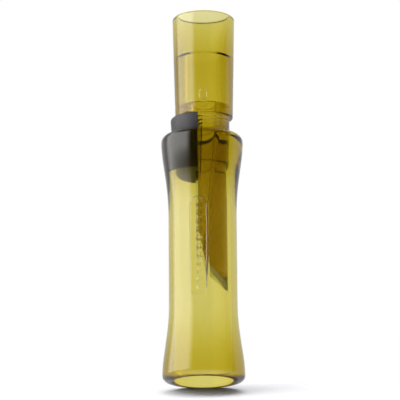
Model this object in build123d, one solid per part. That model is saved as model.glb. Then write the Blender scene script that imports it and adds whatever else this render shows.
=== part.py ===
from build123d import *
import os

# Triple-reed duck call, in millimetres. The mouth end of the barrel stands on z = 0, the
# exhaust end points up, and the origin is on the barrel's axis. The tone board lies on the
# +X side of the split, the wedge and the reeds on the -X side, and the front is -Y.

# Barrel, outside
barrel_length = 97.4
mouth_flare_radius = 15.9      # widest radius at the mouth end
top_flare_radius = 15.9        # widest radius at the end that takes the insert
waist_wall = 2.4               # from the bore to the straight waist between the flares
mouth_flare_length = 30.7      # from the mouth end to the waist
top_flare_length = 32.0        # from the top end to the waist
mouth_flare_swell = 1.1        # how far the mouth flare has opened, halfway along it
top_flare_swell = 1.05
lip_round = 2.2                # outer round of the mouth end
rim_round = 2.8                # outer round of the top end

# Barrel, inside
bore_radius = 10.85            # straight right through, and the insert and wedge plug into it
rim_chamfer = 0.4
mouth_opening = 0.35           # the bore opens out by this towards the mouth
mouth_opening_height = 24.0
mouth_round = 0.9

# Raised frame on the front of the barrel
frame_width = 7.2
frame_below_waist = 0.2        # it starts this far below the waist
frame_into_flare = 4.7         # and ends this far up the top flare
frame_line = 0.9               # width of the raised line
frame_height = 0.4
frame_turn = 5.8               # degrees from the front towards -X

# Fits
plug_clearance = 0.05          # insert's shank and wedge in the bore, on the radius
board_clearance = 1.25         # tone board in the bore, on the radius
seat_clearance = 0.05          # wedge ledge on the barrel's rim and under the shoulder
reed_seat = 0.02               # film to board, and film to wedge
reed_gap = 0.08                # film to film
reed_side_gap = 0.15           # beside the reeds in the wedge's pocket

# Insert
split_x = -1.55                # the board's flat face, where the reeds lie
shank_depth = 12.3             # the half-round shank goes this far into the bore
neck_height = 7.0              # from the barrel's rim up to the body's shoulder
neck_groove_count = 4
neck_groove_depth = 0.25
neck_groove_width = 0.5
body_length = 41.2
body_offset = 0.9              # the body stands this far off the barrel's axis, towards +X
shoulder_width = 0.45          # the body's bottom is this much larger than the shank
body_swell = 0.95              # and its top is this much larger again
body_bottom_round = 0.5
body_top_round = 1.2

# Exhaust, from the top down
bell_radius = 9.8
bell_end_radius = 7.5          # where the bell ends in a short 45 degree step
bell_depth = 15.9
bell_slope = 0.12              # radius over height at both ends of the bell, which swells between
throat_radius = 6.8
exhaust_depth = 36.0           # down to the step where the tone channel comes in
channel_top_radius = 4.4
channel_end_radius = 2.0
channel_end_inset = 0.35       # from the split to the channel's axis at its lower end

# Tone board, measured down from the body's shoulder
lay_start_depth = 41.4         # flat above this, curving away from the reeds below it
channel_end_depth = 53.5       # the channel runs out of the board's face here
lay_end_depth = 59.9
board_depth = 69.1
lay_rise = 2.75                # how far the lay has curved away where it ends
tip_bow = 0.5                  # how far the tip's slope bows out of a straight line

# Small raised mark on the front of the insert
mark_width = 3.4
mark_length = 5.4
mark_line = 0.6
mark_height = 0.35
mark_rise = 6.9                # its centre above the body's shoulder

# Wedge
wedge_depth = 15.2             # it goes this far into the bore
wedge_chamfer = 0.3            # at its lower end
ledge_overhang = 1.4           # the ledge is this much larger than the bore's plug
ledge_round = 1.0
ledge_taper = 0.35             # and this much smaller where it meets the barrel

# Reeds, cut from film
reed_thickness = 0.25
reed_width = 11.0
reed_lengths = {"reed_long": 54.0, "reed_middle": 50.0, "reed_short": 45.5}
reed_butt_depth = 2.7          # from the body's shoulder down to the reeds' butts
reed_corner = 1.6
dimple_radius = 0.7
dimple_height = 0.06
dimple_from_tip = 4.0
dimple_spacing = 4.0

# Worked out from the sizes above
waist_radius = bore_radius + waist_wall
mouth_radius = bore_radius + mouth_opening
waist_top = barrel_length - top_flare_length
shoulder_height = barrel_length + neck_height
top_height = shoulder_height + body_length
shank_radius = bore_radius - plug_clearance
shank_bottom = barrel_length - shank_depth
wedge_bottom = barrel_length - wedge_depth
board_radius = bore_radius - board_clearance
body_bottom_radius = shank_radius + shoulder_width
body_top_radius = body_bottom_radius + body_swell
ledge_radius = shank_radius + ledge_overhang
reed_butt = shoulder_height - reed_butt_depth
reed_count = len(reed_lengths)
reed_stack = 2 * reed_seat + reed_count * reed_thickness + (reed_count - 1) * reed_gap
reach = 2 * max(mouth_flare_radius, top_flare_radius)   # past the widest piece


def turned(lines, at_x=0.0):
    """A solid of revolution from an outline of radius and height."""
    return Pos(at_x, 0, 0) * revolve(Plane.XZ * make_face(lines), Axis.Z)


def disc(radius, bottom, top):
    """An upright cylinder on the barrel's axis between two heights."""
    upright = Cylinder(radius, top - bottom, align=(Align.CENTER, Align.CENTER, Align.MIN))
    return Pos(0, 0, bottom) * upright


def board_side(x=split_x):
    """The space on the tone board's side of an upright plane."""
    block = Box(reach, 2 * reach, 3 * top_height, align=(Align.MIN, Align.CENTER, Align.CENTER))
    return Pos(x, 0, 0) * block


def front_frame(width, length, line, bottom, radius):
    """A raised stadium line on the front of a round piece: a prism cut to a cylinder."""
    outline = SlotOverall(length, width, rotation=90) - SlotOverall(
        length - 2 * line, width - 2 * line, rotation=90
    )
    prism = extrude(Plane.XZ * Pos(0, bottom + length / 2) * outline, radius + reach)
    return prism & disc(radius, bottom - reach, bottom + length + reach)


def make_barrel():
    outer = Polyline((0, 0), (mouth_flare_radius - lip_round, 0))
    outer += RadiusArc(
        (mouth_flare_radius - lip_round, 0), (mouth_flare_radius, lip_round), -lip_round
    )
    outer += Spline(
        (mouth_flare_radius, lip_round),
        (waist_radius + mouth_flare_swell, (lip_round + mouth_flare_length) / 2),
        (waist_radius, mouth_flare_length),
        tangents=[(0, 1), (0, 1)],
    )
    outer += Line((waist_radius, mouth_flare_length), (waist_radius, waist_top))
    rim_start = barrel_length - rim_round
    outer += Spline(
        (waist_radius, waist_top),
        (waist_radius + top_flare_swell, (waist_top + rim_start) / 2),
        (top_flare_radius, rim_start),
        tangents=[(0, 1), (0, 1)],
    )
    outer += RadiusArc(
        (top_flare_radius, rim_start), (top_flare_radius - rim_round, barrel_length), -rim_round
    )
    outer += Polyline((top_flare_radius - rim_round, barrel_length), (0, barrel_length), (0, 0))

    inner = Polyline((0, 0), (mouth_radius + mouth_round, 0))
    inner += RadiusArc((mouth_radius + mouth_round, 0), (mouth_radius, mouth_round), mouth_round)
    inner += Spline(
        (mouth_radius, mouth_round),
        (bore_radius, mouth_opening_height),
        tangents=[(-mouth_opening, mouth_opening_height - mouth_round), (0, 1)],
    )
    inner += Polyline(
        (bore_radius, mouth_opening_height),
        (bore_radius, barrel_length - rim_chamfer),
        (bore_radius + rim_chamfer, barrel_length),
        (0, barrel_length),
        (0, 0),
    )
    frame_bottom = mouth_flare_length - frame_below_waist
    frame_length = waist_top + frame_into_flare - frame_bottom
    frame = front_frame(
        frame_width, frame_length, frame_line, frame_bottom, waist_radius + frame_height
    )
    return (turned(outer) + Rot(0, 0, -frame_turn) * frame) - turned(inner)


def exhaust():
    """The air's way through the insert: bell, short step, bore and slanted tone channel."""
    bell_end = top_height - bell_depth
    step = top_height - exhaust_depth
    way = Spline(
        (bell_radius, top_height),
        (bell_end_radius, bell_end),
        tangents=[(-bell_slope, -1), (-bell_slope, -1)],
    )
    way += Polyline(
        (bell_end_radius, bell_end),
        (throat_radius, bell_end - (bell_end_radius - throat_radius)),
        (throat_radius, step),
        (channel_top_radius, step),
        (channel_top_radius, shoulder_height),
        (0, shoulder_height),
        (0, top_height),
        (bell_radius, top_height),
    )
    channel = loft(
        [
            Pos(split_x + channel_end_inset, 0, shoulder_height - channel_end_depth)
            * Circle(channel_end_radius),
            Pos(body_offset, 0, shoulder_height + neck_height / 4) * Circle(channel_top_radius),
        ]
    )
    return turned(way, body_offset) + channel


def make_insert():
    body = Polyline((0, shoulder_height), (body_bottom_radius - body_bottom_round, shoulder_height))
    body += RadiusArc(
        (body_bottom_radius - body_bottom_round, shoulder_height),
        (body_bottom_radius, shoulder_height + body_bottom_round),
        -body_bottom_round,
    )
    body += Line(
        (body_bottom_radius, shoulder_height + body_bottom_round),
        (body_top_radius, top_height - body_top_round),
    )
    body += RadiusArc(
        (body_top_radius, top_height - body_top_round),
        (body_top_radius - body_top_round, top_height),
        -body_top_round,
    )
    body += Polyline((body_top_radius - body_top_round, top_height), (0, top_height), (0, shoulder_height))

    mark_bottom = shoulder_height + mark_rise - mark_length / 2
    mark = front_frame(
        mark_width, mark_length, mark_line, mark_bottom, body_bottom_radius + mark_height
    )

    shank = disc(shank_radius, shank_bottom, shoulder_height)
    pitch = neck_height / (neck_groove_count + 1)
    for number in range(neck_groove_count):
        middle = barrel_length + (number + 1) * pitch
        groove = disc(shank_radius + 1, middle - neck_groove_width / 2, middle + neck_groove_width / 2)
        shank -= groove - disc(shank_radius - neck_groove_depth, shank_bottom, shoulder_height)

    lay_start = (split_x, shoulder_height - lay_start_depth)
    lay_end = (split_x + lay_rise, shoulder_height - lay_end_depth)
    tip = (board_radius, shoulder_height - board_depth)
    side = Polyline(tip, (board_radius, shank_bottom), (split_x, shank_bottom), lay_start)
    side += TangentArc(lay_start, lay_end, tangent=(0, -1))
    side += SagittaArc(lay_end, tip, -tip_bow)
    board = extrude(Plane.XZ * make_face(side), board_radius, both=True)
    board &= disc(board_radius, 0, shank_bottom)

    lower = (shank & board_side()) + board
    return turned(body, body_offset) + Pos(body_offset, 0, 0) * mark + lower - exhaust()


def make_wedge():
    seat = barrel_length + seat_clearance
    ledge_top = shoulder_height - seat_clearance
    outline = Polyline(
        (0, wedge_bottom),
        (shank_radius - wedge_chamfer, wedge_bottom),
        (shank_radius, wedge_bottom + wedge_chamfer),
        (shank_radius, seat),
        (ledge_radius - ledge_taper, seat),
        (ledge_radius, ledge_top - ledge_round),
    )
    outline += RadiusArc(
        (ledge_radius, ledge_top - ledge_round), (ledge_radius - ledge_round, ledge_top), -ledge_round
    )
    outline += Polyline((ledge_radius - ledge_round, ledge_top), (0, ledge_top), (0, wedge_bottom))
    pocket = Box(
        reach,
        reed_width + 2 * reed_side_gap,
        2 * (reed_butt + reed_side_gap),
        align=(Align.MIN, Align.CENTER, Align.CENTER),
    )
    return turned(outline) - board_side() - Pos(split_x - reed_stack, 0, 0) * pocket


def make_reed(place, length):
    """One film, with clipped corners at its tip and two dimples that hold the next film off."""
    near = split_x - reed_seat - place * (reed_thickness + reed_gap)
    half = reed_width / 2
    tip = reed_butt - length
    outline = Polyline(
        (-half, reed_butt),
        (half, reed_butt),
        (half, tip + reed_corner),
        (half - reed_corner, tip),
        (reed_corner - half, tip),
        (-half, tip + reed_corner),
        (-half, reed_butt),
    )
    film = extrude(Plane.YZ * make_face(outline), -reed_thickness)
    if place < reed_count - 1:
        for side in (-1, 1):
            dimple = Cylinder(dimple_radius, dimple_height, rotation=(0, 90, 0))
            spot = (
                -reed_thickness - dimple_height / 2,
                side * dimple_spacing / 2,
                tip + dimple_from_tip,
            )
            film += Pos(*spot) * dimple
    return Pos(near, 0, 0) * film


def main():
    parts = {"barrel": make_barrel(), "insert": make_insert(), "wedge": make_wedge()}
    for place, (name, length) in enumerate(reed_lengths.items()):
        parts[name] = make_reed(place, length)
    os.makedirs("parts", exist_ok=True)
    for name, shape in parts.items():
        export_step(shape, f"parts/{name}.step")
        print(name, "solids", len(shape.solids()), "volume", round(shape.volume, 1))


main()
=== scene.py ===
import bpy, bmesh, math
from mathutils import Matrix, Vector


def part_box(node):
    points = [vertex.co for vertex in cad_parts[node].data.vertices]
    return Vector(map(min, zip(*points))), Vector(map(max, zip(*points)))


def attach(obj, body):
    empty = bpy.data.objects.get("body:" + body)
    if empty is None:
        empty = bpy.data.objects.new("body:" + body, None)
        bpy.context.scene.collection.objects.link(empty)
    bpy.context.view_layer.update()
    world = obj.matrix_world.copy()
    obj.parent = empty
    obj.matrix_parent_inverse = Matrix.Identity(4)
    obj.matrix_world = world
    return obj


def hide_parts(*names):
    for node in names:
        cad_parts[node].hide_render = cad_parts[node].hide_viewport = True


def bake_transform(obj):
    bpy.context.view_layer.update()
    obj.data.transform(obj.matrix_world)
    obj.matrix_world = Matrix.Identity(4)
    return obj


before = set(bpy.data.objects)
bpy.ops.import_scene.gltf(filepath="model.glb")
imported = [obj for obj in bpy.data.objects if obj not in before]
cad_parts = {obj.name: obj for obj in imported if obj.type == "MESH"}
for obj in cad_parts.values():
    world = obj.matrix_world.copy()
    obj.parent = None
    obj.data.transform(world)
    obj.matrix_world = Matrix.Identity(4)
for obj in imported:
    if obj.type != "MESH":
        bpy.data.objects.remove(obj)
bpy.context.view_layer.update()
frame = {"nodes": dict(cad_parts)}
mm = 0.001


def boxOf(node):
    # a node's lowest and highest corners in millimetres
    low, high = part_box(node)
    return [v / mm for v in low], [v / mm for v in high]


# heights and faces that several pieces share, in millimetres
barrelTop = boxOf("barrel")[1][2]
boardTip, insertTop = boxOf("insert")[0][2], boxOf("insert")[1][2]
wedgeLow, wedgeHigh = boxOf("wedge")
boreRadius = 10.85
fitGap = 0.05                       # between the barrel and what plugs into it or sits on it
plugRadius = boreRadius - fitGap    # the insert's shank in the bore
bodyOffset = 0.9                    # the insert's body stands off the barrel's axis
splitX = -1.55                      # the board's flat face, where the reeds lie
shoulder = wedgeHigh[2] + fitGap    # underside of the insert's body
mergeWithin = 0.002                 # points nearer than this become one
lineSoftness = 0.42                 # width of the soft edge of a raised line
print("frame loaded:", ", ".join(frame["nodes"]))


def linkObject(name, data):
    piece = bpy.data.objects.new(name, data)
    bpy.context.scene.collection.objects.link(piece)
    return piece


def meshObject(name, points, faces):
    mesh = bpy.data.meshes.new(name)
    mesh.from_pydata([Vector(p) * mm for p in points], [], faces)
    mesh.validate()
    return linkObject(name, mesh)


def tidyMesh(piece, sharpDegrees, material=None):
    # merges doubles, turns every face outwards and shades it smooth between sharp edges
    bm = bmesh.new()
    bm.from_mesh(piece.data)
    bmesh.ops.remove_doubles(bm, verts=bm.verts, dist=mergeWithin * mm)
    bmesh.ops.dissolve_degenerate(bm, edges=bm.edges, dist=mergeWithin / 2 * mm)
    bmesh.ops.recalc_face_normals(bm, faces=bm.faces)
    bm.to_mesh(piece.data)
    bm.free()
    piece.data.polygons.foreach_set("use_smooth", [True] * len(piece.data.polygons))
    piece.data.set_sharp_from_angle(angle=math.radians(sharpDegrees))
    if material:
        piece.data.materials.clear()
        piece.data.materials.append(material)
    piece.data.update()
    return piece


def applied(piece):
    # the evaluated mesh takes the place of the piece's own, and its modifiers go
    seen = piece.evaluated_get(bpy.context.evaluated_depsgraph_get())
    mesh = bpy.data.meshes.new_from_object(seen)
    name = piece.name
    bpy.data.objects.remove(piece)
    return linkObject(name, mesh)


def cut(piece, tool, how):
    modifier = piece.modifiers.new("cut", "BOOLEAN")
    modifier.operation = how
    modifier.solver = "EXACT"
    modifier.object = tool
    result = applied(piece)
    bpy.data.objects.remove(tool)
    return result


def arc(centre, radius, fromDegrees, toDegrees, steps):
    points = []
    for i in range(steps + 1):
        a = math.radians(fromDegrees + (toDegrees - fromDegrees) * i / steps)
        points.append((centre[0] + radius * math.cos(a), centre[1] + radius * math.sin(a)))
    return points


def hermite(p0, p1, s0, s1, steps):
    # a curve of radius over height, with its slope in radius per height at both ends
    (r0, z0), (r1, z1) = p0, p1
    tall = z1 - z0
    points = []
    for i in range(steps + 1):
        t = i / steps
        r = (2*t**3 - 3*t**2 + 1) * r0 + (t**3 - 2*t**2 + t) * s0 * tall
        r += (3*t**2 - 2*t**3) * r1 + (t**3 - t**2) * s1 * tall
        points.append((r, z0 + tall * t))
    return points


def flare(start, end, swell, steps):
    # swells between two radii, upright at both ends, and is this much past the waist halfway
    (r0, z0), (r1, z1) = start, end
    middle = (min(r0, r1) + swell, (z0 + z1) / 2)
    slope = 1.5 * (r1 - r0) / (z1 - z0)
    half = steps // 2
    return hermite(start, middle, 0, slope, half) + hermite(middle, end, slope, 0, half)[1:]


def risers(r0, z0, r1, z1, count):
    # points along a straight side, ends left out
    return [(r0 + (r1 - r0) * i / count, z0 + (z1 - z0) * i / count) for i in range(1, count)]


def lathe(name, outline, segments, centreX=0.0, crowding=0.0, front=-90.0):
    # a closed solid from radii and heights, flat at both ends, with azimuths crowded to the front
    azimuths = []
    for i in range(segments):
        a = 2 * math.pi * i / segments
        azimuths.append(a - crowding * math.sin(a) + math.radians(front))
    points, faces = [], []
    for r, z in outline:
        points += [(centreX + r * math.cos(a), r * math.sin(a), z) for a in azimuths]
    for ring in range(len(outline) - 1):
        low, high = ring * segments, (ring + 1) * segments
        for i in range(segments):
            j = (i + 1) % segments
            faces.append((low + i, low + j, high + j, high + i))
    faces.append(tuple(reversed(range(segments))))
    last = (len(outline) - 1) * segments
    faces.append(tuple(range(last, last + segments)))
    return meshObject(name, points, faces)


def prism(name, outline, depth):
    # an outline in the XZ plane, as deep as this on both sides of it
    count = len(outline)
    points = [(x, -depth, z) for x, z in outline] + [(x, depth, z) for x, z in outline]
    faces = [tuple(range(count)), tuple(reversed(range(count, 2 * count)))]
    for i in range(count):
        j = (i + 1) % count
        faces.append((i, i + count, j + count, j))
    piece = meshObject(name, points, faces)
    return tidyMesh(piece, 30)


def softStep(distance, softness):
    # 1 inside, 0 outside, with a soft edge
    t = min(max(0.5 - distance / softness, 0), 1)
    return t * t * (3 - 2 * t)


def ringHeight(across, along, width, length, line):
    # a raised stadium line
    straight = (length - width) / 2
    past = max(abs(along) - straight, 0)
    edge = math.hypot(across, past) - width / 2
    return softStep(abs(edge + line / 2) - line / 2, lineSoftness)


def mathsIn(tree):
    # gives a function that adds a maths node to the tree, fed by numbers or sockets
    def maths(operation, first, second=None):
        node = tree.nodes.new("ShaderNodeMath")
        node.operation = operation
        for socket, value in zip(node.inputs, (first, second)):
            if isinstance(value, (int, float)):
                socket.default_value = value
            elif value is not None:
                tree.links.new(value, socket)
        return node.outputs[0]
    return maths


def turningTree():
    # sweeps a closed outline round a circle about Z, with its segments crowded to one side
    tree = bpy.data.node_groups.new("turnedShell", "GeometryNodeTree")
    tree.is_modifier = True
    face = tree.interface
    for label, kind in (("Geometry", "Geometry"), ("Path Radius", "Float"), ("Segments", "Int"),
                        ("Crowding", "Float"), ("Front", "Float"), ("Material", "Material")):
        face.new_socket(label, in_out="INPUT", socket_type="NodeSocket" + kind)
    face.new_socket("Geometry", in_out="OUTPUT", socket_type="NodeSocketGeometry")
    nodes, links = tree.nodes, tree.links
    given, out = nodes.new("NodeGroupInput"), nodes.new("NodeGroupOutput")
    maths = mathsIn(tree)

    circle = nodes.new("GeometryNodeCurvePrimitiveCircle")
    links.new(given.outputs["Path Radius"], circle.inputs["Radius"])
    links.new(given.outputs["Segments"], circle.inputs["Resolution"])
    turn = maths("MULTIPLY", maths("DIVIDE", nodes.new("GeometryNodeInputIndex").outputs[0],
                                   given.outputs["Segments"]), 2 * math.pi)
    crowd = maths("MULTIPLY", maths("SINE", turn), given.outputs["Crowding"])
    angle = maths("ADD", maths("SUBTRACT", turn, crowd), given.outputs["Front"])
    place = nodes.new("ShaderNodeCombineXYZ")
    for trig, axis in (("COSINE", "X"), ("SINE", "Y")):
        links.new(maths("MULTIPLY", maths(trig, angle), given.outputs["Path Radius"]), place.inputs[axis])
    move = nodes.new("GeometryNodeSetPosition")
    links.new(circle.outputs["Curve"], move.inputs["Geometry"])
    links.new(place.outputs[0], move.inputs["Position"])
    normals = nodes.new("GeometryNodeSetCurveNormal")
    normals.mode = "Z_UP"
    links.new(move.outputs[0], normals.inputs["Curve"])
    sweep = nodes.new("GeometryNodeCurveToMesh")
    links.new(normals.outputs["Curve"], sweep.inputs["Curve"])
    links.new(given.outputs["Geometry"], sweep.inputs["Profile Curve"])
    realize = nodes.new("GeometryNodeRealizeInstances")
    links.new(sweep.outputs["Mesh"], realize.inputs["Geometry"])
    paint = nodes.new("GeometryNodeSetMaterial")
    links.new(realize.outputs["Geometry"], paint.inputs["Geometry"])
    links.new(given.outputs["Material"], paint.inputs["Material"])
    links.new(paint.outputs["Geometry"], out.inputs["Geometry"])
    return tree


def turnedShell(name, outline, look, material):
    # the outline is closed and never touches the axis, so the result is one closed ring
    radii = [r for r, z in outline]
    pathRadius = (min(radii) + max(radii)) / 2
    curve = bpy.data.curves.new(name, "CURVE")
    curve.dimensions = "3D"
    spline = curve.splines.new("POLY")
    spline.points.add(len(outline) - 1)
    for point, (r, z) in zip(spline.points, outline):
        point.co = ((r - pathRadius) * mm, -z * mm, 0, 1)
    spline.use_cyclic_u = True
    piece = linkObject(name, curve)
    modifier = piece.modifiers.new("turned", "NODES")
    modifier.node_group = turningTree()
    sockets = modifier.node_group.interface.items_tree
    keys = {s.name: s.identifier for s in sockets if s.in_out == "INPUT"}
    modifier[keys["Path Radius"]] = pathRadius * mm
    modifier[keys["Segments"]] = look["segments"]
    modifier[keys["Crowding"]] = look["crowding"]
    modifier[keys["Front"]] = math.radians(-90 - look["frameTurn"])
    modifier[keys["Material"]] = material
    return tidyMesh(applied(piece), 40)


def setSocket(node, name, value):
    node.inputs[name].default_value = value


def newMaterial(name):
    material = bpy.data.materials.new(name)
    material.use_nodes = True
    return material, material.node_tree, material.node_tree.nodes["Principled BSDF"]


def noiseOf(tree, place, scale, detail):
    node = tree.nodes.new("ShaderNodeTexNoise")
    setSocket(node, "Scale", scale)
    setSocket(node, "Detail", detail)
    tree.links.new(place, node.inputs["Vector"])
    return node.outputs["Fac"]


def colourOf(tree, amount, colours, span):
    # runs from the first colour to the second as the amount crosses the span
    node = tree.nodes.new("ShaderNodeValToRGB")
    for stop, colour, position in zip(node.color_ramp.elements, colours, span):
        stop.color = (*colour, 1)
        stop.position = position
    tree.links.new(amount, node.inputs["Fac"])
    return node.outputs["Color"]


def rangeOf(tree, value, span, result):
    node = tree.nodes.new("ShaderNodeMapRange")
    for label, limits in (("From", span), ("To", result)):
        setSocket(node, label + " Min", limits[0])
        setSocket(node, label + " Max", limits[1])
    tree.links.new(value, node.inputs["Value"])
    return node.outputs["Result"]


def bumpOf(tree, height, tall, strength=1.0):
    node = tree.nodes.new("ShaderNodeBump")
    setSocket(node, "Strength", strength)
    setSocket(node, "Distance", tall * mm)
    tree.links.new(height, node.inputs["Height"])
    return node.outputs["Normal"]


def clearPlastic(name, look, dullInside=None):
    # tinted through its thickness; faint flow marks and smudges vary its colour and its gloss,
    # and a bore can be duller than the outside
    material, tree, shader = newMaterial(name)
    nodes, links = tree.nodes, tree.links
    setSocket(shader, "Transmission Weight", 1.0)
    setSocket(shader, "IOR", look["ior"])
    place = nodes.new("ShaderNodeTexCoord").outputs["Object"]
    stretch = nodes.new("ShaderNodeMapping")
    setSocket(stretch, "Scale", (1, 1, look["flowStretch"]))
    links.new(place, stretch.inputs["Vector"])
    flow = noiseOf(tree, stretch.outputs["Vector"], look["flowScale"], look["flowDetail"])
    tint = colourOf(tree, flow, (look["flowDark"], look["flowPale"]), (0, 1))
    links.new(tint, shader.inputs["Base Color"])
    smudge = noiseOf(tree, place, look["smudgeScale"], look["smudgeDetail"])
    rough = rangeOf(tree, smudge, look["smudgeSpan"], look["roughness"])
    if dullInside:
        rough = dulled(tree, place, rough, dullInside)
    links.new(rough, shader.inputs["Roughness"])
    links.new(bumpOf(tree, flow, look["waveHeight"]), shader.inputs["Normal"])
    absorb = nodes.new("ShaderNodeVolumeAbsorption")
    setSocket(absorb, "Color", (*look["passes"], 1))
    setSocket(absorb, "Density", look["density"])
    links.new(absorb.outputs["Volume"], nodes["Material Output"].inputs["Volume"])
    return material


def dulled(tree, place, rough, look):
    # adds roughness within a radius of an upright axis, above a height
    nodes, links = tree.nodes, tree.links
    maths = mathsIn(tree)
    shift = nodes.new("ShaderNodeVectorMath")
    shift.operation = "SUBTRACT"
    shift.inputs[1].default_value = (look["centreX"] * mm, 0, look["above"] * mm)
    links.new(place, shift.inputs[0])
    parts = nodes.new("ShaderNodeSeparateXYZ")
    links.new(shift.outputs[0], parts.inputs[0])
    flat = nodes.new("ShaderNodeCombineXYZ")
    for axis in "XY":
        links.new(parts.outputs[axis], flat.inputs[axis])
    reach = nodes.new("ShaderNodeVectorMath")
    reach.operation = "LENGTH"
    links.new(flat.outputs[0], reach.inputs[0])
    near = maths("LESS_THAN", reach.outputs["Value"], look["within"] * mm)
    over = maths("GREATER_THAN", parts.outputs["Z"], 0.0)
    return maths("ADD", maths("MULTIPLY", maths("MULTIPLY", near, over), look["added"]), rough)


def rubber(name, look):
    # charcoal moulding with a fine grain and slightly polished patches
    material, tree, shader = newMaterial(name)
    place = tree.nodes.new("ShaderNodeTexCoord").outputs["Object"]
    patches = noiseOf(tree, place, look["patchScale"], look["patchDetail"])
    colour = colourOf(tree, patches, (look["dark"], look["pale"]), look["patchSpan"])
    tree.links.new(colour, shader.inputs["Base Color"])
    tree.links.new(rangeOf(tree, patches, (0, 1), look["roughness"]), shader.inputs["Roughness"])
    grain = noiseOf(tree, place, look["grainScale"], look["grainDetail"])
    bump = bumpOf(tree, grain, look["grainHeight"], look["grainStrength"])
    tree.links.new(bump, shader.inputs["Normal"])
    return material


amberLook = {
    "ior": 1.5, "passes": (0.847, 0.78, 0.0), "density": 360, "roughness": (0.015, 0.07),
    "flowDark": (0.96, 0.95, 0.88), "flowPale": (1, 1, 1), "flowScale": 160, "flowStretch": 0.12,
    "flowDetail": 3, "smudgeScale": 90, "smudgeDetail": 5, "smudgeSpan": (0.45, 0.75), "waveHeight": 0.02,
}
filmLook = {
    "ior": 1.5, "passes": (0.9, 0.9, 0.8), "density": 60, "roughness": (0.03, 0.12),
    "flowDark": (0.95, 0.95, 0.9), "flowPale": (1, 1, 1), "flowScale": 300, "flowStretch": 0.3,
    "flowDetail": 3, "smudgeScale": 200, "smudgeDetail": 5, "smudgeSpan": (0.45, 0.75), "waveHeight": 0.01,
}
rubberLook = {
    "dark": (0.018, 0.016, 0.018), "pale": (0.042, 0.038, 0.042), "roughness": (0.38, 0.62),
    "patchScale": 140, "patchDetail": 4, "patchSpan": (0.35, 0.7),
    "grainScale": 2600, "grainDetail": 2, "grainHeight": 0.05, "grainStrength": 0.6,
}
barrelPlastic = clearPlastic("amberBarrel", amberLook)
exhaustLook = {"centreX": bodyOffset, "above": shoulder, "within": 10.6, "added": 0.1}
insertPlastic = clearPlastic("amberInsert", amberLook, exhaustLook)
filmPlastic = clearPlastic("reedFilm", filmLook)
wedgeRubber = rubber("charcoalWedge", rubberLook)
print("materials made")

barrelSizes = {
    "flareRadius": 15.9, "waistRadius": 13.25, "mouthFlare": 30.7, "topFlare": 32.0,
    "mouthSwell": 1.1, "topSwell": 1.05, "lipRound": 2.2, "rimRound": 2.8, "rimChamfer": 0.4,
    "mouthRadius": 11.2, "mouthRise": 24.0, "mouthRound": 0.9,
    "segments": 300, "crowding": 0.7, "frameTurn": 5.8,
    "frameWidth": 7.2, "frameLine": 0.9, "frameHeight": 0.4, "frameLow": 30.5, "frameHigh": 70.1,
    "beadRadius": 1.35, "beadHeight": 0.32, "beadPitch": 3.3, "beadMargin": 3.0,
    "fineMargin": 0.5, "fineRow": 0.25,
}


def frameRelief(s, across, z):
    # the raised frame, with a row of plain round beads inside it
    middle, length = (s["frameLow"] + s["frameHigh"]) / 2, s["frameHigh"] - s["frameLow"]
    high = s["frameHeight"] * ringHeight(across, z - middle, s["frameWidth"], length, s["frameLine"])
    if abs(z - middle) < length / 2 - s["beadMargin"]:
        phase = (z - middle) / s["beadPitch"]
        reach = math.hypot(across, (phase - round(phase)) * s["beadPitch"]) / s["beadRadius"]
        if reach < 1:
            # round, with a broad top and a soft foot
            high += s["beadHeight"] * (1 - reach ** 4) ** 2
    return high


def radiusAt(side, z):
    # the radius of a rising outline at a height
    after = next(k for k, p in enumerate(side) if p[1] > z)
    (r0, z0), (r1, z1) = side[after - 1], side[after]
    return r0 + (r1 - r0) * (z - z0) / (z1 - z0)


def makeBarrel():
    s = barrelSizes
    waist, wide = s["waistRadius"], s["flareRadius"]
    topStart, rimStart = barrelTop - s["topFlare"], barrelTop - s["rimRound"]
    side = flare((wide, s["lipRound"]), (waist, s["mouthFlare"]), s["mouthSwell"], steps=48)[1:]
    side += risers(waist, s["mouthFlare"], waist, topStart, count=4)
    side += flare((waist, topStart), (wide, rimStart), s["topSwell"], steps=48)

    # the outside, with fine rows where the frame stands out
    low, high = s["frameLow"] - s["fineMargin"], s["frameHigh"] + s["fineMargin"]
    outline = arc((wide - s["lipRound"], s["lipRound"]), s["lipRound"], -90, 0, steps=14)
    outline += [p for p in side if p[1] < low]
    fine = int((high - low) / s["fineRow"])
    for i in range(fine + 1):
        z = low + (high - low) * i / fine
        outline.append((radiusAt(side, z), z))
    outline += [p for p in side if p[1] > high]
    outline += arc((wide - s["rimRound"], rimStart), s["rimRound"], 0, 90, steps=14)[1:]

    # the bore, from the rim back down to the mouth
    chamferLow = barrelTop - s["rimChamfer"]
    outline += [(boreRadius + s["rimChamfer"], barrelTop), (boreRadius, chamferLow)]
    outline += risers(boreRadius, chamferLow, boreRadius, s["mouthRise"], count=8)
    opening = (boreRadius - s["mouthRadius"]) / (s["mouthRise"] - s["mouthRound"])
    mouthEnd = (s["mouthRadius"], s["mouthRound"])
    outline += hermite((boreRadius, s["mouthRise"]), mouthEnd, 0, opening, steps=8)
    mouthCentre = (s["mouthRadius"] + s["mouthRound"], s["mouthRound"])
    outline += arc(mouthCentre, s["mouthRound"], 180, 270, steps=8)[1:]

    barrel = turnedShell("barrelShell", outline, s, barrelPlastic)
    front = math.radians(-90 - s["frameTurn"])
    for vertex in barrel.data.vertices:
        x, y, z = vertex.co / mm
        radius = math.hypot(x, y)
        if low < z < high and radius > (waist + boreRadius) / 2:
            across = (math.atan2(y, x) - front) * waist
            if abs(across) < s["frameWidth"]:
                vertex.co.xy *= 1 + frameRelief(s, across, z) / radius
    barrel.data.update()
    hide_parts("barrel")
    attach(barrel, "barrel")
    print("barrel made:", len(barrel.data.polygons), "faces")


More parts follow.
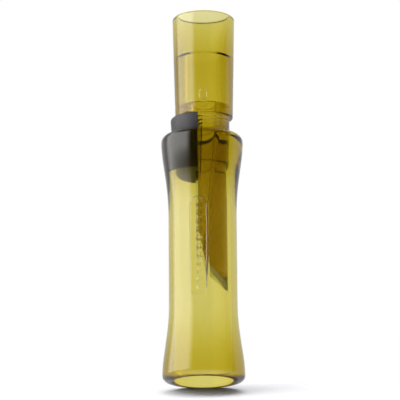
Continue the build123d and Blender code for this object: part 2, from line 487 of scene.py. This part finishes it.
insertSizes = {
    "bottomRadius": 11.25, "topRadius": 12.2, "bottomRound": 0.5, "topRound": 1.2,
    "shankBottom": barrelTop - 12.3, "boardRadius": 9.6, "segments": 192, "crowding": 0.55,
    "ribCount": 4, "ribDepth": 0.25, "ribWidth": 0.9,
    "bell": 9.8, "bellEnd": 7.5, "bellDepth": 15.9, "bellSlope": 0.12, "bellEdge": 0.35,
    "throat": 6.8, "exhaustDepth": 36.0, "channelTop": 4.4, "channelTopRise": 1.75,
    "channelEnd": 2.0, "channelInset": 0.35, "channelDepth": 53.5, "channelOverlap": 0.6,
    "layStart": 41.4, "layEnd": 59.9, "layRise": 2.75, "tipBow": 0.5,
    "markWidth": 3.4, "markLength": 5.4, "markLine": 0.6, "markHeight": 0.35, "markRise": 6.9,
    "markMargin": 0.4, "dotRadius": 0.45, "dotSoftness": 0.25,
    # how far the blanks and cutters run past what they shape
    "past": 1.0, "tipPast": 0.6, "intoBody": 0.3, "sidePast": 0.1, "edgePast": 0.4, "blankReach": 14,
}


def boardOutline(s):
    # the side view of shank and board: flat face, curved lay, and a slope up to the tip
    layStart = (splitX, shoulder - s["layStart"])
    layEnd = (splitX + s["layRise"], shoulder - s["layEnd"])
    drop = layStart[1] - layEnd[1]
    bend = (s["layRise"] ** 2 + drop ** 2) / (2 * s["layRise"])
    turn = math.degrees(math.asin(drop / bend))
    lay = arc((splitX + bend, layStart[1]), bend, 180, 180 + turn, steps=24)
    fall = (layEnd[1] - boardTip) / (s["boardRadius"] - layEnd[0])
    tip = Vector((s["boardRadius"] + s["tipPast"], boardTip - s["tipPast"] * fall))
    end = Vector(layEnd)
    along = tip - end
    aside = Vector((along.y, -along.x)).normalized() * -s["tipBow"]
    slope = []
    steps = 16
    for i in range(1, steps + 1):
        t = i / steps
        slope.append(tuple(end + along * t + aside * 4 * t * (1 - t)))
    reach, top = s["blankReach"], shoulder + s["intoBody"] + s["sidePast"]
    return [(reach, top), (splitX, top)] + lay + slope + [(reach, slope[-1][1])]


def markedBody(s):
    # the round body above the shoulder, with a raised ring and a dot on its front
    low, high = shoulder + s["bottomRound"], insertTop - s["topRound"]
    lean = (s["topRadius"] - s["bottomRadius"]) / (high - low)
    body = arc((s["bottomRadius"] - s["bottomRound"], low), s["bottomRound"], -90, 0, steps=5)
    markLow = shoulder + s["markRise"] - s["markLength"] / 2 - s["markMargin"]
    markHigh = markLow + s["markLength"] + 2 * s["markMargin"]
    markRows, plainRows = 40, 14
    heights = [markLow + (markHigh - markLow) * i / markRows for i in range(markRows + 1)]
    heights += [markHigh + (high - markHigh) * i / plainRows for i in range(1, plainRows + 1)]
    body += [(s["bottomRadius"] + lean * (z - low), z) for z in heights]
    body += arc((s["topRadius"] - s["topRound"], high), s["topRound"], 0, 90, steps=8)[1:]
    piece = lathe("insertBody", body, s["segments"], bodyOffset, s["crowding"])
    for vertex in piece.data.vertices:
        x, y, z = vertex.co / mm
        if markLow < z < markHigh and y < 0 and abs(x - bodyOffset) < s["markWidth"]:
            across = math.atan2(x - bodyOffset, -y) * s["bottomRadius"]
            rise = z - shoulder - s["markRise"]
            ring = ringHeight(across, rise, s["markWidth"], s["markLength"], s["markLine"])
            dot = softStep(math.hypot(across, rise) - s["dotRadius"], s["dotSoftness"])
            vertex.co.y -= s["markHeight"] * max(ring, dot) * mm
    return piece


def shankAndBoard(s):
    # turned with the neck's shallow grooves, then cut to its side view
    outline = [(s["boardRadius"], boardTip - s["past"]), (s["boardRadius"], s["shankBottom"])]
    outline += [(plugRadius, s["shankBottom"]), (plugRadius, barrelTop)]
    pitch = (shoulder - barrelTop) / (s["ribCount"] + 1)
    steps = 8
    for rib in range(s["ribCount"]):
        middle = barrelTop + (rib + 1) * pitch
        for i in range(steps + 1):
            t = i / steps
            dip = s["ribDepth"] * (0.5 - 0.5 * math.cos(2 * math.pi * t))
            outline.append((plugRadius - dip, middle + s["ribWidth"] * (t - 0.5)))
    outline.append((plugRadius, shoulder + s["intoBody"]))
    side = prism("boardSide", boardOutline(s), s["blankReach"])
    return cut(lathe("boardBlank", outline, s["segments"]), side, "INTERSECT")


def exhaustWay(s):
    # the air's way from the tone channel up through the bore and the bell
    bellEnd, step = insertTop - s["bellDepth"], insertTop - s["exhaustDepth"]
    way = [(s["channelTop"], shoulder - s["channelOverlap"]), (s["channelTop"], step)]
    way += [(s["throat"], step), (s["throat"], bellEnd - (s["bellEnd"] - s["throat"]))]
    rim = insertTop - s["bellEdge"]
    way += hermite((s["bellEnd"], bellEnd), (s["bell"], rim), s["bellSlope"], s["bellSlope"], steps=20)
    way += arc((s["bell"] + s["bellEdge"], rim), s["bellEdge"], 180, 90, steps=4)[1:]
    way.append((s["bell"] + s["bellEdge"] + s["edgePast"], insertTop + s["past"]))
    return lathe("exhaust", way, s["segments"], bodyOffset)


def makeInsert():
    s = insertSizes
    insert = cut(markedBody(s), shankAndBoard(s), "UNION")
    insert = cut(insert, exhaustWay(s), "DIFFERENCE")
    insert = cut(insert, channelCone(s), "DIFFERENCE")
    insert.name = "insertPiece"
    tidyMesh(insert, 32, insertPlastic)
    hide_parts("insert")
    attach(insert, "insert")
    print("insert made:", len(insert.data.polygons), "faces")


def channelCone(s):
    # the slanted tone channel, from the exhaust down to the board's face
    segments = s["segments"]
    ends = [
        (splitX + s["channelInset"], s["channelEnd"], shoulder - s["channelDepth"]),
        (bodyOffset, s["channelTop"], shoulder + s["channelTopRise"]),
    ]
    points = []
    for x, r, z in ends:
        for i in range(segments):
            a = 2 * math.pi * i / segments
            points.append((x + r * math.cos(a), r * math.sin(a), z))
    faces = [tuple(reversed(range(segments))), tuple(range(segments, 2 * segments))]
    for i in range(segments):
        j = (i + 1) % segments
        faces.append((i, j, j + segments, i + segments))
    return meshObject("channel", points, faces)


wedgeSizes = {
    "chamfer": 0.3, "ledgeRound": 1.0, "ledgeTaper": 0.35, "ledgeEdge": 0.25, "edgeRound": 0.15,
    "contact": 0.02, "pocketDepth": 0.95, "pocketHalf": 5.65, "pocketAbove": 0.15, "segments": 192,
    "past": 2, "reach": 20,      # how far the cutters run past the wedge
}


def makeWedge():
    # the rubber wets the bore where it is pressed, so its side is a hair larger than the bore
    s = wedgeSizes
    bottom, ledgeTop = wedgeLow[2], wedgeHigh[2]
    ledge = -wedgeLow[0]
    side = boreRadius + s["contact"]
    outline = [(side - s["chamfer"], bottom), (side, bottom + s["chamfer"])]
    chamferLow = barrelTop - barrelSizes["rimChamfer"]
    outline += risers(side, bottom + s["chamfer"], side, chamferLow, count=10)
    outline += [(side, chamferLow), (side - fitGap, barrelTop + fitGap)]
    outline += [(ledge - s["ledgeTaper"] - s["ledgeEdge"], barrelTop + fitGap)]
    outline += [(ledge - s["ledgeTaper"], barrelTop + fitGap + s["ledgeEdge"])]
    topRound = s["ledgeRound"]
    outline += arc((ledge - topRound, ledgeTop - topRound), topRound, 0, 90, steps=10)
    wedge = lathe("wedgeBlank", outline, s["segments"])
    low, high, reach = bottom - s["past"], ledgeTop + s["past"], s["reach"]
    half = [(splitX, low), (splitX, high), (-reach, high), (-reach, low)]
    wedge = cut(wedge, prism("wedgeSide", half, reach), "INTERSECT")
    butt = boxOf("reed_long")[1][2] + s["pocketAbove"]
    deep, outer = splitX - s["pocketDepth"], splitX + s["past"]
    pocket = [(deep, low), (outer, low), (outer, butt), (deep, butt)]
    wedge = cut(wedge, prism("reedPocket", pocket, s["pocketHalf"]), "DIFFERENCE")
    tidyMesh(wedge, 30)
    soften = wedge.modifiers.new("soften", "BEVEL")
    soften.width = s["edgeRound"] * mm
    soften.segments = 2
    soften.angle_limit = math.radians(40)
    wedge = applied(wedge)
    wedge.name = "wedgePiece"
    tidyMesh(wedge, 45, wedgeRubber)
    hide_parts("wedge")
    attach(wedge, "insert")
    print("wedge made:", len(wedge.data.polygons), "faces")


reedSizes = {
    "thickness": 0.25, "width": 11.0, "corner": 1.6, "rows": 60, "columns": 22, "crowding": 1.6,
    "dimple": 0.9, "dimpleHeight": 0.06, "dimpleFromTip": 4.0, "dimpleSpacing": 4.0,
    "flexStart": 66.0, "flexEnd": 47.0,
}


def dimpleDepth(s, y, rise):
    # how far the two dimples push the film out here
    depth = 0
    for side in (-1, 1):
        reach = math.hypot(y - side * s["dimpleSpacing"] / 2, rise - s["dimpleFromTip"])
        depth += s["dimpleHeight"] * softStep(reach - s["dimple"] / 2, s["dimple"])
    return depth


def makeReed(node, dimpled):
    # a flat film with clipped corners, and two dimples that hold the next film off
    s = reedSizes
    low, high = boxOf(node)
    tip, butt, near = low[2], high[2], high[0]
    points, faces = [], []
    rows, columns = s["rows"], s["columns"]
    for layer in range(2):
        for i in range(rows + 1):
            # rows crowd to the tip, where the corners and the dimples are
            t = (i / rows) ** s["crowding"]
            z = tip + (butt - tip) * t
            half = s["width"] / 2 - max(s["corner"] - (z - tip), 0)
            for k in range(columns + 1):
                y = -half + 2 * half * k / columns
                x = near - layer * s["thickness"]
                if dimpled and layer:
                    x -= dimpleDepth(s, y, z - tip)
                points.append((x, y, z))
    row = columns + 1
    back = row * (rows + 1)
    for i in range(rows):
        for k in range(columns):
            a = i * row + k
            faces.append((a, a + 1, a + row + 1, a + row))
            faces.append((back + a, back + a + row, back + a + row + 1, back + a + 1))
        for a in (i * row, i * row + columns):
            faces.append((a, a + row, back + a + row, back + a))
    for k in range(columns):
        for a in (k, rows * row + k):
            faces.append((a, a + 1, back + a + 1, back + a))
    reed = tidyMesh(meshObject(node + "Film", points, faces), 30, filmPlastic)
    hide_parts(node)
    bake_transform(reed)


makeBarrel()
makeInsert()
makeWedge()
for node in ("reed_long", "reed_middle", "reed_short"):
    makeReed(node, node != "reed_short")
print("reeds made")

floorLook = {
    "tilt": 18.0, "touch": 12.9, "under": 0.02, "behind": 22.0, "ahead": 500.0, "half": 500.0,
    "colour": (0.93, 0.93, 0.95), "roughness": 0.9,
}
cameraView = {
    "away": 1088.4, "below": 207.9, "aside": -0.95, "pitch": 14.41, "roll": -0.45,
    "lens": 260.2, "sensor": 36, "seesTo": 100,
}
lampAim = (0, 0, 0.07)
lampLooks = {
    "leftLamp": {"place": (-0.57, -0.18, 0.38), "width": 0.9, "height": 0.7, "radiance": 2.4},
    "topLamp": {"place": (0.1, 0.0, 0.7), "width": 0.9, "height": 0.7, "radiance": 1.9},
}
# levels of the world in what is seen, refracted, reflected and lit; angles in degrees, where
# azimuths run from the front to the left; whitens is how far back front turns into behind
worldLook = {
    "seen": 1.0, "through": 0.92, "soft": 0.5, "shaded": 0.06,
    "behind": 0.8, "before": 0.01, "inside": 0.3, "whitens": (-0.1, 0.35),
    "panel": 4.0, "panelInside": 1.5, "panelRight": (30, 50), "panelLeft": (125, 105),
    "panelLow": (-4, 8), "panelHigh": (55, 40),
}


def makeFloor():
    # the pale sheet meets the far side of the mouth and falls away to the front
    s = floorLook
    slope = math.tan(math.radians(s["tilt"]))
    points = []
    for x in (-s["half"], s["half"]):
        for y in (-s["ahead"], s["behind"]):
            points.append((x, y, (y - s["touch"]) * slope - s["under"]))
    floor = meshObject("paleFloor", points, [(0, 2, 3, 1)])
    paint, _, shader = newMaterial("paleFloor")
    setSocket(shader, "Base Color", (*s["colour"], 1))
    setSocket(shader, "Roughness", s["roughness"])
    floor.data.materials.append(paint)


def makeLamp(name, look):
    # it lights the floor and the rubber; what shines in the plastic is the world's panel
    light = bpy.data.lights.new(name, "AREA")
    light.shape = "RECTANGLE"
    light.size, light.size_y = look["width"], look["height"]
    light.energy = look["radiance"] * math.pi * look["width"] * look["height"]
    lamp = linkObject(name, light)
    lamp.location = look["place"]
    aim = Vector(lampAim) - lamp.location
    lamp.rotation_euler = aim.to_track_quat("-Z", "Y").to_euler()
    lamp.visible_glossy = False
    lamp.visible_transmission = False


def makeCamera():
    v = cameraView
    data = bpy.data.cameras.new("camera")
    data.lens = v["lens"]
    data.sensor_width = v["sensor"]
    data.clip_end = v["seesTo"]
    camera = linkObject("camera", data)
    camera.location = Vector((v["aside"], -v["away"], -v["below"])) * mm
    look = Matrix.Rotation(math.radians(90 + v["pitch"]), 3, "X")
    camera.rotation_euler = (look @ Matrix.Rotation(math.radians(v["roll"]), 3, "Z")).to_euler()
    bpy.context.scene.camera = camera


def makeWorld():
    # white behind and dark in front, with a soft bright panel on the left that only reflections see
    world = bpy.data.worlds.new("studio")
    bpy.context.scene.world = world
    world.use_nodes = True
    world.cycles.sampling_method = "NONE"
    look = worldLook
    nodes, links = world.node_tree.nodes, world.node_tree.links
    maths = mathsIn(world.node_tree)

    def ramp(value, limits):
        # 0 at the first limit and 1 at the second, smoothly
        node = nodes.new("ShaderNodeMapRange")
        node.interpolation_type = "SMOOTHSTEP"
        links.new(value, node.inputs["Value"])
        setSocket(node, "From Min", limits[0])
        setSocket(node, "From Max", limits[1])
        return node.outputs["Result"]

    def mixed(amount, first, second):
        node = nodes.new("ShaderNodeMix")
        node.data_type = "FLOAT"
        links.new(amount, node.inputs[0])
        for socket, value in ((node.inputs[2], first), (node.inputs[3], second)):
            if isinstance(value, (int, float)):
                socket.default_value = value
            else:
                links.new(value, socket)
        return node.outputs[0]

    where = nodes.new("ShaderNodeSeparateXYZ")
    links.new(nodes.new("ShaderNodeTexCoord").outputs["Generated"], where.inputs[0])
    x, y, z = where.outputs
    left, front = maths("MULTIPLY", x, -1.0), maths("MULTIPLY", y, -1.0)
    azimuth = maths("DEGREES", maths("ARCTAN2", left, front))
    height = maths("DEGREES", maths("ARCSINE", z))
    panel = ramp(azimuth, look["panelRight"])
    for angle, edge in ((azimuth, "panelLeft"), (height, "panelLow"), (height, "panelHigh")):
        panel = maths("MULTIPLY", panel, ramp(angle, look[edge]))
    path = nodes.new("ShaderNodeLightPath")
    before = mixed(path.outputs["Transmission Depth"], look["before"], look["inside"])
    shine = mixed(path.outputs["Transmission Depth"], look["panel"], look["panelInside"])
    surround = mixed(ramp(y, look["whitens"]), before, look["behind"])
    mirrored = mixed(panel, surround, shine)
    level = mixed(path.outputs["Glossy Depth"], look["through"], mirrored)
    rays = (("Diffuse Depth", "shaded"), ("Is Diffuse Ray", "soft"), ("Is Camera Ray", "seen"))
    for kind, value in rays:
        level = mixed(path.outputs[kind], level, look[value])
    links.new(level, nodes["Background"].inputs["Strength"])
    setSocket(nodes["Background"], "Color", (1, 1, 1, 1))


def makeStage():
    makeFloor()
    makeCamera()
    makeWorld()
    for name, look in lampLooks.items():
        makeLamp(name, look)
    scene = bpy.context.scene
    scene.view_settings.view_transform = "Standard"
    scene.cycles.max_bounces = 32
    scene.cycles.transmission_bounces = 32
    scene.cycles.glossy_bounces = 32
    scene.cycles.diffuse_bounces = 4


makeStage()
print("stage made")
